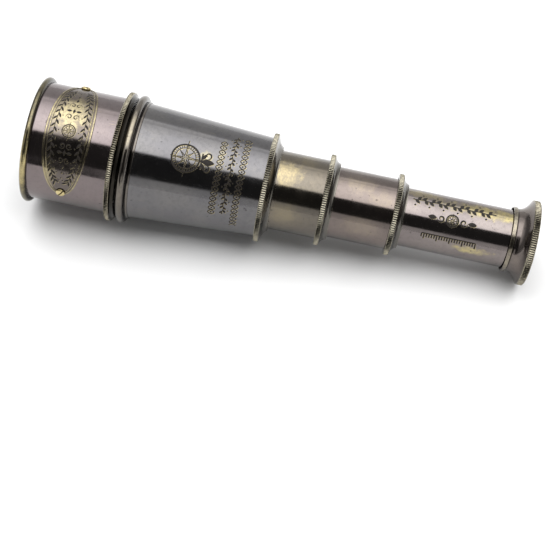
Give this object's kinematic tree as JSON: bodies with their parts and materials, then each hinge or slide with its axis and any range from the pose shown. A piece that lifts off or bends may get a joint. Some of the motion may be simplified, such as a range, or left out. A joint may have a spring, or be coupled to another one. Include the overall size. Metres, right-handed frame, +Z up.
{
  "type": "hand telescope",
  "caption": "Bronzed brass hand telescope with sliding draws, knurled collars, an oval plate on the hood and a flared eyepiece, lying partly pulled out.",
  "frame": {"origin": "middle of the bounding box's bottom face, on the ground that the telescope lies on", "axes": "+X along the telescope to the eyepiece, +Z up, -Y towards the side that the plate faces; the optical axis falls 3.11 degrees towards the eyepiece"},
  "size_m": [0.2384, 0.061, 0.0622],
  "materials": {
    "bronzed_brass": "polished dark brown bronzing over brass",
    "gunmetal_brass": "polished dark grey bronzing over brass",
    "worn_brass": "bronzed brass worn bright on its edges",
    "nameplate_brass": "engraved brass with dark lines",
    "bright_brass": "bare polished brass",
    "blackened_brass": "matt black inside",
    "lens_glass": "polished glass"
  },
  "bodies": {
    "barrel": {"hood_tube": "bronzed_brass", "front_rim": "worn_brass", "nameplate": "nameplate_brass", "nameplate_screws": "bright_brass", "objective_seat_ring": "blackened_brass", "objective_crown_lens": "lens_glass", "objective_flint_lens": "lens_glass", "objective_retaining_ring": "blackened_brass", "objective_knurled_ring": "worn_brass", "barrel_bead_ring": "worn_brass", "barrel_tube": "gunmetal_brass", "barrel_collar": "worn_brass", "barrel_spring_sleeve": "bright_brass"},
    "draw_1": {"draw_1_tube": "bronzed_brass", "draw_1_stop_ring": "blackened_brass", "draw_1_collar": "worn_brass", "draw_1_spring_sleeve": "bright_brass"},
    "draw_2": {"draw_2_tube": "bronzed_brass", "draw_2_stop_ring": "blackened_brass", "draw_2_collar": "worn_brass", "draw_2_spring_sleeve": "bright_brass"},
    "draw_3": {"erector_tube": "blackened_brass", "erector_front_lens": "lens_glass", "erector_rear_lens": "lens_glass", "erector_lens_rings": "blackened_brass", "erector_aperture_stop": "blackened_brass", "eyepiece_body": "bronzed_brass", "eyepiece_knurled_rim": "worn_brass", "eyepiece_lens_tube": "blackened_brass", "eyepiece_field_lens": "lens_glass", "eyepiece_field_stop": "blackened_brass", "eyepiece_eye_lens": "lens_glass", "eyepiece_lens_rings": "blackened_brass", "eyepiece_eye_disc": "bronzed_brass", "draw_3_tube": "bronzed_brass", "draw_3_stop_ring": "blackened_brass"}
  },
  "joints": [
    {"name": "draw_1_slide", "type": "slide", "parent": "barrel", "child": "draw_1", "axis": [0.9985, 0, -0.0542], "range_m": [-0.022, 0.0474]},
    {"name": "draw_2_slide", "type": "slide", "parent": "draw_1", "child": "draw_2", "axis": [0.9985, 0, -0.0542], "range_m": [-0.0271, 0.0445]},
    {"name": "draw_3_slide", "type": "slide", "parent": "draw_2", "child": "draw_3", "axis": [0.9985, 0, -0.0542], "range_m": [-0.0491, 0.0247]}
  ]
}
